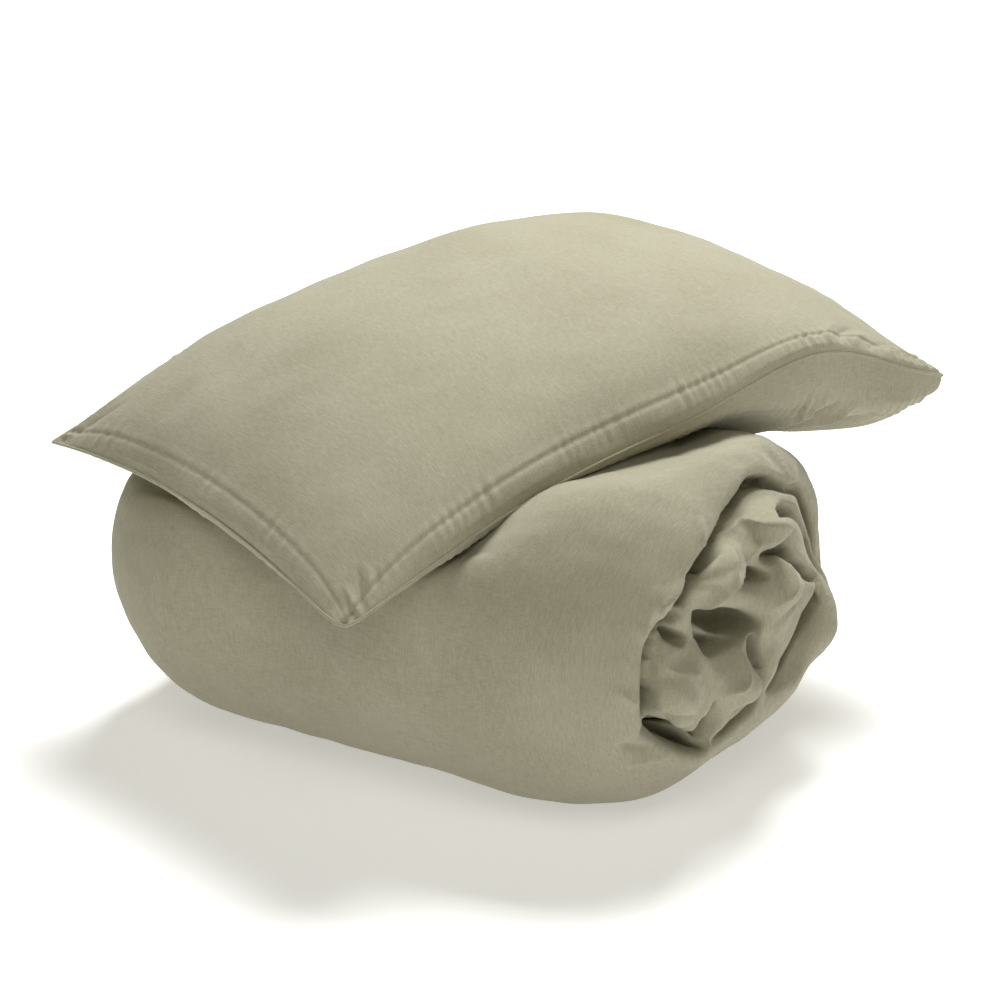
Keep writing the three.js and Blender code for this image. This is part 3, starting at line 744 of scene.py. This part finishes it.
UNDER_FOLDS = [
    ([(0.30, -0.62), (0.44, -0.78), (0.55, -0.90), (0.61, -0.985)], 6, 10),
    ([(0.34, -0.66), (0.49, -0.79), (0.60, -0.89), (0.66, -0.985)], 6, -8),
    ([(0.38, -0.66), (0.55, -0.78), (0.67, -0.88), (0.72, -0.98)], 6, 9),
    ([(0.44, -0.66), (0.60, -0.76), (0.74, -0.85), (0.80, -0.97)], 8, -7),
    ([(0.50, -0.62), (0.68, -0.72), (0.82, -0.82), (0.89, -0.95)], 7, 6),
    ([(-0.90, -0.97), (-0.80, -0.88), (-0.62, -0.80)], 6, -2.5),
    ([(-0.97, 0.5), (-0.86, 0.4), (-0.7, 0.35)], 8, -2.5),
]


def draw_folds(folds, side):
    tree = tree_of(pillow)
    facing = (way[:, 2] > 0.05) if side > 0 else (way[:, 2] < -0.02)
    for knots, width, rise in folds:
        places = pillow_skin(*np.array(smooth_line(knots)).T, side)
        line = np.array([tree.find_nearest(Vector(p))[0] for p in places])
        stroke(skin, way * facing[:, None], line, width * MM, rise * MM, 1.3, 0.35)


draw_folds(TOP_FOLDS, 1)
draw_folds(UNDER_FOLDS, -1)
move_points(pillow, skin)
shade_smooth(pillow)

# %% [markdown]
# ## Seam edges
# The turned edge of a seam stands out as a thin bead round the pillow.

# %% Seam beads
def bead(name, lines, radius):
    """A thin round seam that follows one or more lines of points."""
    points, faces, first = [], [], 0
    for line in lines:
        rings = []
        for i, place in enumerate(line):
            ahead = line[min(i + 1, len(line) - 1)] - line[max(i - 1, 0)]
            ahead = ahead / np.linalg.norm(ahead)
            side = np.cross(ahead, (0, 0, 1))
            side /= np.linalg.norm(side)
            over = np.cross(side, ahead)
            a = np.linspace(0, 2 * math.pi, 8, endpoint=False)[:, None]
            rings.append(place + radius * (np.cos(a) * side + np.sin(a) * over))
        p, f = closed_tube(rings)
        points.append(p)
        faces += [tuple(first + i for i in face) for face in f]
        first += len(p)
    made = new_piece(name, np.vstack(points), faces)
    shade_smooth(made)
    return made


seamed = [rim_lines[side] for side in ("near", "far", "closed")]
seam_bead = bead("pillowcase_seam_edge", seamed, 1.5 * MM)
hem_bead = bead("pillowcase_open_hem", [rim_lines["open"]], 1.9 * MM)
print("seam beads:", len(seam_bead.data.polygons), len(hem_bead.data.polygons), "faces")

# %% [markdown]
# ## The roll gives way under the pillow
# The filling squashes where the pillow lies, so the roll's upper half sinks, most at its top. What
# still touches the pillow's underside is kept just below it.

# %% The roll gives way under the pillow
PRESS_EDGE, PRESS_SOFT = 0.9, 9 * MM


def press_limit(x, y):
    """How high the roll may stand: under the pillow's belly, and rising again outside it."""
    yaw = math.radians(70)
    along = ((x - PILLOW_AT[0]) * math.cos(yaw) + (y - PILLOW_AT[1]) * math.sin(yaw)) / (LENGTH / 2)
    across = (-(x - PILLOW_AT[0]) * math.sin(yaw) + (y - PILLOW_AT[1]) * math.cos(yaw)) / (WIDTH / 2)
    u, v = np.clip(along, -PRESS_EDGE, PRESS_EDGE), np.clip(across, -PRESS_EDGE, PRESS_EDGE)
    outside = np.hypot((along - u) * LENGTH / 2, (across - v) * WIDTH / 2)
    return pillow_skin(u, v, -1)[..., 2] - 2 * MM + 0.22 * outside + 3.5 * outside**2


def press(points):
    """The upper half of the roll sinks, most at its top, where it would stand above the limit."""
    x, y, z = points.T
    top = roll_top(x, y)
    over = top - press_limit(x, y)
    sink = PRESS_SOFT * np.logaddexp(0, over / PRESS_SOFT)
    foot = 110 * MM
    share = np.clip((z - foot) / np.maximum(top - foot, 60 * MM), 0, 1.15)
    points[:, 2] = z - sink * share
    return sink.max()


skin = points_of(roll)
deepest = press(skin)
pillow_tree = tree_of(pillow)
sunk = 0
for i in np.where(skin[:, 2] > 180 * MM)[0]:
    x, y, z = skin[i]
    hit = pillow_tree.ray_cast(Vector((x, y, 0)), Vector((0, 0, 1)))[0]
    if hit is not None and z > hit.z - 1.5 * MM:
        skin[i, 2] = hit.z - 1.5 * MM
        sunk += 1
print(f"the pillow sinks {deepest * 1000:.0f} mm into the roll; {sunk} points touched it")

# %% [markdown]
# ## The roll under its closure
# The closure holds the cloth flat there, so the skin stays just inside the tail's own radius.

# %% The roll under its closure
HELD_HALF, HELD_FROM, HELD_FADE = 225 * MM, math.radians(62), 40 * MM
reach = np.hypot(skin[:, 1] - TAIL_MIDDLE[0], skin[:, 2] - TAIL_Z)
angle = np.arctan2(skin[:, 1] - TAIL_MIDDLE[0], skin[:, 2] - TAIL_Z)
beside = np.abs(skin[:, 0] - MIDDLE_X) - HELD_HALF
before = HELD_FROM - angle
out_of = np.maximum(np.maximum(beside, before * TAIL_RADIUS), 0)
limit = TAIL_RADIUS - 0.3 * MM + 0.25 * out_of
behind = (angle > math.radians(40)) & (angle < math.radians(110))
over = (reach > limit) & (out_of < HELD_FADE) & behind
shrink = np.where(over, limit / np.maximum(reach, 1e-6), 1)
skin[:, 1] = TAIL_MIDDLE[0] + (skin[:, 1] - TAIL_MIDDLE[0]) * shrink
skin[:, 2] = TAIL_Z + (skin[:, 2] - TAIL_Z) * shrink
move_points(roll, skin)
print("points held flat under the closure:", int(over.sum()))

# %% [markdown]
# ## Washed linen
# Flax yarn is uneven, so linen shows slubs: short thicker threads that run along the weave and along
# the weft. Washing softens it and leaves faint lighter and darker patches. The finish is matt with a
# little fuzz. Real threads are 0.5 mm apart, and the weave is drawn at 0.8 mm so that it shows.

# %% Linen
def linen(name, light, dark, turn_z=0, thread=0.8):
    made = bpy.data.materials.new(name)
    made.use_nodes = True
    tree = made.node_tree
    skin = tree.nodes["Principled BSDF"]
    place = add(tree, "ShaderNodeTexCoord").outputs["Object"]
    weave = []
    for axis in (0, 1):
        fine, long_ = 1 / (thread * MM), 1 / (9 * MM)
        scale = (fine, long_, long_) if axis == 0 else (long_, fine, fine)
        turned = add(tree, "ShaderNodeMapping", [("Rotation", (0, 0, turn_z))], [("Vector", place)])
        mapped = add(tree, "ShaderNodeMapping", [("Scale", scale)], [("Vector", turned.outputs[0])])
        weave.append(add(tree, "ShaderNodeTexNoise", [("Scale", 1.0), ("Detail", 2.0), ("Roughness", 0.6)],
                         [("Vector", mapped.outputs[0])]).outputs["Fac"])
    both = add(tree, "ShaderNodeMath", links=[(0, weave[0]), (1, weave[1])], operation="ADD").outputs[0]
    grain = add(tree, "ShaderNodeTexNoise", [("Scale", 900.0), ("Detail", 1.0)], [("Vector", place)])
    patches = add(tree, "ShaderNodeTexNoise", [("Scale", 9.0), ("Detail", 3.0)], [("Vector", place)])
    tone = add(tree, "ShaderNodeMath", [(1, 0.5)], [(0, both)], operation="MULTIPLY").outputs[0]
    worn = add(tree, "ShaderNodeMath", [(1, 0.3), (2, -0.15)], [(0, patches.outputs["Fac"])],
               operation="MULTIPLY_ADD").outputs[0]
    both_tones = add(tree, "ShaderNodeMath", links=[(0, worn), (1, tone)], operation="ADD").outputs[0]
    colour = add(tree, "ShaderNodeValToRGB", links=[("Fac", both_tones)])
    ramp = colour.color_ramp
    ramp.elements[0].position, ramp.elements[0].color = 0.25, linear(dark)
    ramp.elements[1].position, ramp.elements[1].color = 0.8, linear(light)
    tree.links.new(colour.outputs["Color"], skin.inputs["Base Color"])
    rough = add(tree, "ShaderNodeMath", [(1, 0.5), (2, 0.0)], [(0, both), (2, grain.outputs["Fac"])],
                operation="MULTIPLY_ADD").outputs[0]
    bump = add(tree, "ShaderNodeBump", [("Strength", 0.5), ("Distance", 0.35 * MM)], [("Height", rough)])
    tree.links.new(bump.outputs["Normal"], skin.inputs["Normal"])
    skin.inputs["Roughness"].default_value = 0.93
    skin.inputs["Specular IOR Level"].default_value = 0.25
    skin.inputs["Sheen Weight"].default_value = 0.12
    skin.inputs["Sheen Roughness"].default_value = 0.55
    return made


ROLL_LINEN = linen("washed_linen_duvet_cover", "#B2AE9B", "#8C876E")
PILLOW_LINEN = linen("washed_linen_pillowcase", "#B2AE9B", "#8C876E", turn_z=math.radians(-70))
roll.data.materials.clear()
roll.data.materials.append(ROLL_LINEN)
pillow.data.materials.append(PILLOW_LINEN)
print("materials:", ROLL_LINEN.name, PILLOW_LINEN.name)

# %% [markdown]
# ## The cover's closure
# A duvet cover shuts at its foot with a band of buttons, a band of buttonholes over it, and often a
# flap that hides both. Here it lies across the back of the roll. Each band is a thin bent sheet: one
# layer of faces is laid on the roll's curve, the buttonholes are left open in it, and Solidify gives
# the cloth its thickness.

# %% Closure sheets
FLAP_LOW, FLAP_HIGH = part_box("button_flap")
CLOSURE_MIDDLE, CLOSURE_LENGTH = (FLAP_LOW.x + FLAP_HIGH.x) / 2, FLAP_HIGH.x - FLAP_LOW.x
END_ANGLE = TAIL_ANGLE - 0.5 * MM / TAIL_RADIUS
HINGE_ANGLE = END_ANGLE - 72 * MM / TAIL_RADIUS
BAND_ANGLE = HINGE_ANGLE + 4.5 * MM / TAIL_RADIUS
BUTTON_ANGLE = (BAND_ANGLE + END_ANGLE) / 2
BUTTON_BOXES = [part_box(f"cover_button_{i}") for i in (1, 2, 3)]
BUTTON_PLACES = [(low.x + high.x) / 2 for low, high in BUTTON_BOXES]


def tail_place(x, above, angle):
    """A point over the tail: its x, its height above the roll's skin and its angle from the roll's top."""
    r = TAIL_RADIUS + above
    return np.array([x, TAIL_MIDDLE[0] + r * math.sin(angle), TAIL_MIDDLE[1] + r * math.cos(angle)])


def bent_sheet(name, above, thick, start, end, wave, holes=False, seed=1):
    xs = np.linspace(-CLOSURE_LENGTH / 2, CLOSURE_LENGTH / 2, 173) + CLOSURE_MIDDLE
    angles = np.linspace(start, end, int((end - start) * TAIL_RADIUS / (2 * MM)) + 1)
    draw = np.random.default_rng(seed)
    shift = draw.uniform(0, 6.3, 3)
    points = []
    for x in xs:
        for k, a in enumerate(angles):
            far = k / (len(angles) - 1)
            soft = wave * (0.5 * math.sin(x * 40 + shift[0]) + 0.3 * math.sin(x * 95 + shift[1] + 2 * far)
                           + 0.2 * math.sin(x * 21 + 5 * far + shift[2]))
            points.append(tail_place(x, above + thick / 2 + soft, a))
    count = len(angles)
    faces = []
    for i in range(len(xs) - 1):
        for k in range(count - 1):
            x, a = (xs[i] + xs[i + 1]) / 2, (angles[k] + angles[k + 1]) / 2
            across = abs(a - BUTTON_ANGLE) * TAIL_RADIUS < 2.2 * MM
            if holes and across and min(abs(x - b) for b in BUTTON_PLACES) < 11 * MM:
                continue
            faces.append((i * count + k, i * count + k + 1, (i + 1) * count + k + 1, (i + 1) * count + k))
    made = new_piece(name, points, faces)
    apply_modifier(made, "SOLIDIFY", thickness=thick, offset=0)
    bpy.ops.object.mode_set(mode="EDIT")
    bpy.ops.mesh.select_all(action="SELECT")
    bpy.ops.mesh.normals_make_consistent(inside=False)
    bpy.ops.object.mode_set(mode="OBJECT")
    shade_smooth(made)
    made.data.materials.append(ROLL_LINEN)
    return made


button_band = bent_sheet("button_band_cloth", 0.5 * MM, 1.2 * MM, BAND_ANGLE, END_ANGLE, 0.12 * MM, seed=2)
hole_band = bent_sheet("buttonhole_band_cloth", 2.2 * MM, 1.2 * MM, BAND_ANGLE, END_ANGLE, 0.15 * MM,
                       holes=True, seed=3)
flap_cloth = bent_sheet("button_flap_cloth", 6.9 * MM, 1.5 * MM, HINGE_ANGLE, END_ANGLE, 0.9 * MM, seed=4)
flap_fold = bent_sheet("flap_fold_cloth", 0.5 * MM, 7.9 * MM, HINGE_ANGLE - 16 * MM / TAIL_RADIUS,
                       HINGE_ANGLE - 0.5 * MM / TAIL_RADIUS, 0.2 * MM, seed=5)
apply_modifier(flap_fold, "BEVEL", width=2.5 * MM, segments=3, limit_method="ANGLE")
print("closure:", round(CLOSURE_LENGTH, 3), "m long, flap", 72, "mm deep")

# %% [markdown]
# ## Stitches
# Each stitch is a short raised thread that dips into the cloth at both ends.

# %% Stitches
def stitches(name, rows, length=3.0, gap=1.2, radius=0.35):
    """Rows of short raised threads: each row is a list of points and of outward ways along it."""
    points, faces, first = [], [], 0
    for line, out in rows:
        run = np.concatenate([[0], np.cumsum(np.linalg.norm(np.diff(line, axis=0), axis=1))])
        at = lambda d, values: np.array([np.interp(d, run, values[:, c]) for c in range(3)])
        for start in np.arange(0, run[-1] - length * MM, (length + gap) * MM):
            rings = []
            for t in (0, 0.15, 0.5, 0.85, 1):
                place, up = at(start + t * length * MM, line), at(start + t * length * MM, out)
                ahead = at(start + length * MM, line) - at(start, line)
                side = np.cross(ahead / np.linalg.norm(ahead), up)
                size = radius * MM * (0.4 + 0.6 * math.sin(math.pi * min(max(t, 0.05), 0.95)) ** 0.5)
                a = np.linspace(0, 2 * math.pi, 6, endpoint=False)[:, None]
                rings.append(place + size * (np.cos(a) * side + np.sin(a) * up))
            p, f = closed_tube(rings)
            points.append(p)
            faces += [tuple(first + i for i in face) for face in f]
            first += len(p)
    made = new_piece(name, np.vstack(points), faces)
    shade_smooth(made)
    return made


def tail_row(above, angle, inset=4):
    xs = np.linspace(-CLOSURE_LENGTH / 2 + inset * MM, CLOSURE_LENGTH / 2 - inset * MM, 80) + CLOSURE_MIDDLE
    out = np.array((0, math.sin(angle), math.cos(angle)))
    return np.array([tail_place(x, above * MM, angle) for x in xs]), np.tile(out, (80, 1))


def buttonhole_rows(above):
    rows = []
    for b in BUTTON_PLACES:
        for side in (-1, 1):
            angle = BUTTON_ANGLE + side * 3.4 * MM / TAIL_RADIUS
            out = np.array((0, math.sin(angle), math.cos(angle)))
            xs = np.linspace(b - 12 * MM, b + 12 * MM, 12)
            rows.append((np.array([tail_place(x, above * MM, angle) for x in xs]), np.tile(out, (12, 1))))
    return rows


flap_thread = stitches("flap_stitching", [tail_row(9.3, END_ANGLE - 4 * MM / TAIL_RADIUS),
                                          tail_row(9.3, HINGE_ANGLE + 5 * MM / TAIL_RADIUS)])
fold_thread = stitches("fold_stitching", [tail_row(8.7, HINGE_ANGLE - 8 * MM / TAIL_RADIUS)])
hole_thread = stitches("buttonhole_stitching", buttonhole_rows(3.55), length=1.6, gap=0.5)
print("stitches:", len(flap_thread.data.polygons) + len(fold_thread.data.polygons), "faces")

# %% [markdown]
# ## Thread and shell
# Cotton thread is twisted, so it has a fine slanting grain and a soft gloss. The buttons are turned
# from river shell, which is layered: cloudy bands of cream and grey-brown under a polished face.

# %% Thread and shell
def cotton_thread():
    made = bpy.data.materials.new("twisted_cotton_thread")
    made.use_nodes = True
    tree = made.node_tree
    skin = tree.nodes["Principled BSDF"]
    place = add(tree, "ShaderNodeTexCoord").outputs["Object"]
    twist = add(tree, "ShaderNodeTexWave", [("Scale", 900.0), ("Distortion", 0.6)], [("Vector", place)],
                bands_direction="DIAGONAL")
    colour = add(tree, "ShaderNodeValToRGB", links=[("Fac", twist.outputs["Fac"])])
    dark, light = colour.color_ramp.elements
    dark.color, light.color = linear("#A9A389"), linear("#C2BCA4")
    tree.links.new(colour.outputs["Color"], skin.inputs["Base Color"])
    bump = add(tree, "ShaderNodeBump", [("Strength", 0.4), ("Distance", 0.1 * MM)],
               [("Height", twist.outputs["Fac"])])
    tree.links.new(bump.outputs["Normal"], skin.inputs["Normal"])
    skin.inputs["Roughness"].default_value = 0.7
    return made


def turned_shell():
    made = bpy.data.materials.new("turned_river_shell")
    made.use_nodes = True
    tree = made.node_tree
    skin = tree.nodes["Principled BSDF"]
    place = add(tree, "ShaderNodeTexCoord").outputs["Object"]
    layers = add(tree, "ShaderNodeTexNoise", [("Scale", 160.0), ("Detail", 4.0), ("Distortion", 1.5)],
                 [("Vector", place)])
    colour = add(tree, "ShaderNodeValToRGB", links=[("Fac", layers.outputs["Fac"])])
    dark, light = colour.color_ramp.elements
    dark.position, light.position = 0.3, 0.7
    dark.color, light.color = linear("#7C6A4E"), linear("#CFC2A6")
    tree.links.new(colour.outputs["Color"], skin.inputs["Base Color"])
    gloss = add(tree, "ShaderNodeMath", [(1, 0.25), (2, 0.18)], [(0, layers.outputs["Fac"])],
                operation="MULTIPLY_ADD")
    tree.links.new(gloss.outputs[0], skin.inputs["Roughness"])
    skin.inputs["IOR"].default_value = 1.55
    skin.inputs["Coat Weight"].default_value = 0.3
    return made


THREAD, SHELL = cotton_thread(), turned_shell()
for piece in (flap_thread, fold_thread, hole_thread):
    piece.data.materials.append(THREAD)
for number in (1, 2, 3):
    for name, finish in ((f"cover_button_{number}", SHELL), (f"button_shank_{number}", THREAD)):
        node = frame["nodes"][name]
        for s in range(len(node.material_slots)):
            node.material_slots[s].link = "OBJECT"
            node.material_slots[s].material = finish
seam_bead.data.materials.append(PILLOW_LINEN)
hem_bead.data.materials.append(PILLOW_LINEN)
print("materials:", THREAD.name, SHELL.name)

# %% [markdown]
# ## What moves with what
# The flap turns on its own body. The bands and the fold stay on the roll.

# %% Bodies of the closure
for piece, node in ((button_band, "cover_button_band"), (hole_band, "cover_buttonhole_band"),
                    (flap_fold, "flap_seam")):
    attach(piece, "duvet_roll")
    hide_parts(node)
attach(flap_cloth, "closure_flap")
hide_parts("button_flap")
threads = ((flap_thread, "closure_flap"), (fold_thread, "duvet_roll"), (hole_thread, "duvet_roll"))
for piece, body in threads:
    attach(piece, body)
print("closure pieces:", [p.name for p in (button_band, hole_band, flap_cloth, flap_fold)])

# %% [markdown]
# ## The roll and the pillow on their bodies
# Each soft piece takes the place of the CAD nodes that it shows.

# %% Bodies of the roll and the pillow
ROLL_NODES = [n for n in frame["nodes"] if frame["nodes"][n].get("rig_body") == "duvet_roll"
              and not n.startswith(("cover_button", "button_shank", "flap_seam"))]
SEAMS = ["pillowcase_seam_near", "pillowcase_seam_far", "pillowcase_seam_closed"]
HEMS = ["pillowcase_hem_front", "pillowcase_hem_back"]
PILLOW_NODES = [n for n in frame["nodes"] if frame["nodes"][n].get("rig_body") == "pillow"
                and n not in SEAMS + HEMS]
for piece, nodes in ((seam_bead, SEAMS), (hem_bead, HEMS)):
    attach(piece, "pillow")
    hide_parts(*nodes)
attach(roll, "duvet_roll")
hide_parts(*ROLL_NODES)
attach(pillow, "pillow")
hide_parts(*PILLOW_NODES)
print("the roll stands for", len(ROLL_NODES), "nodes, the pillow for", len(PILLOW_NODES))
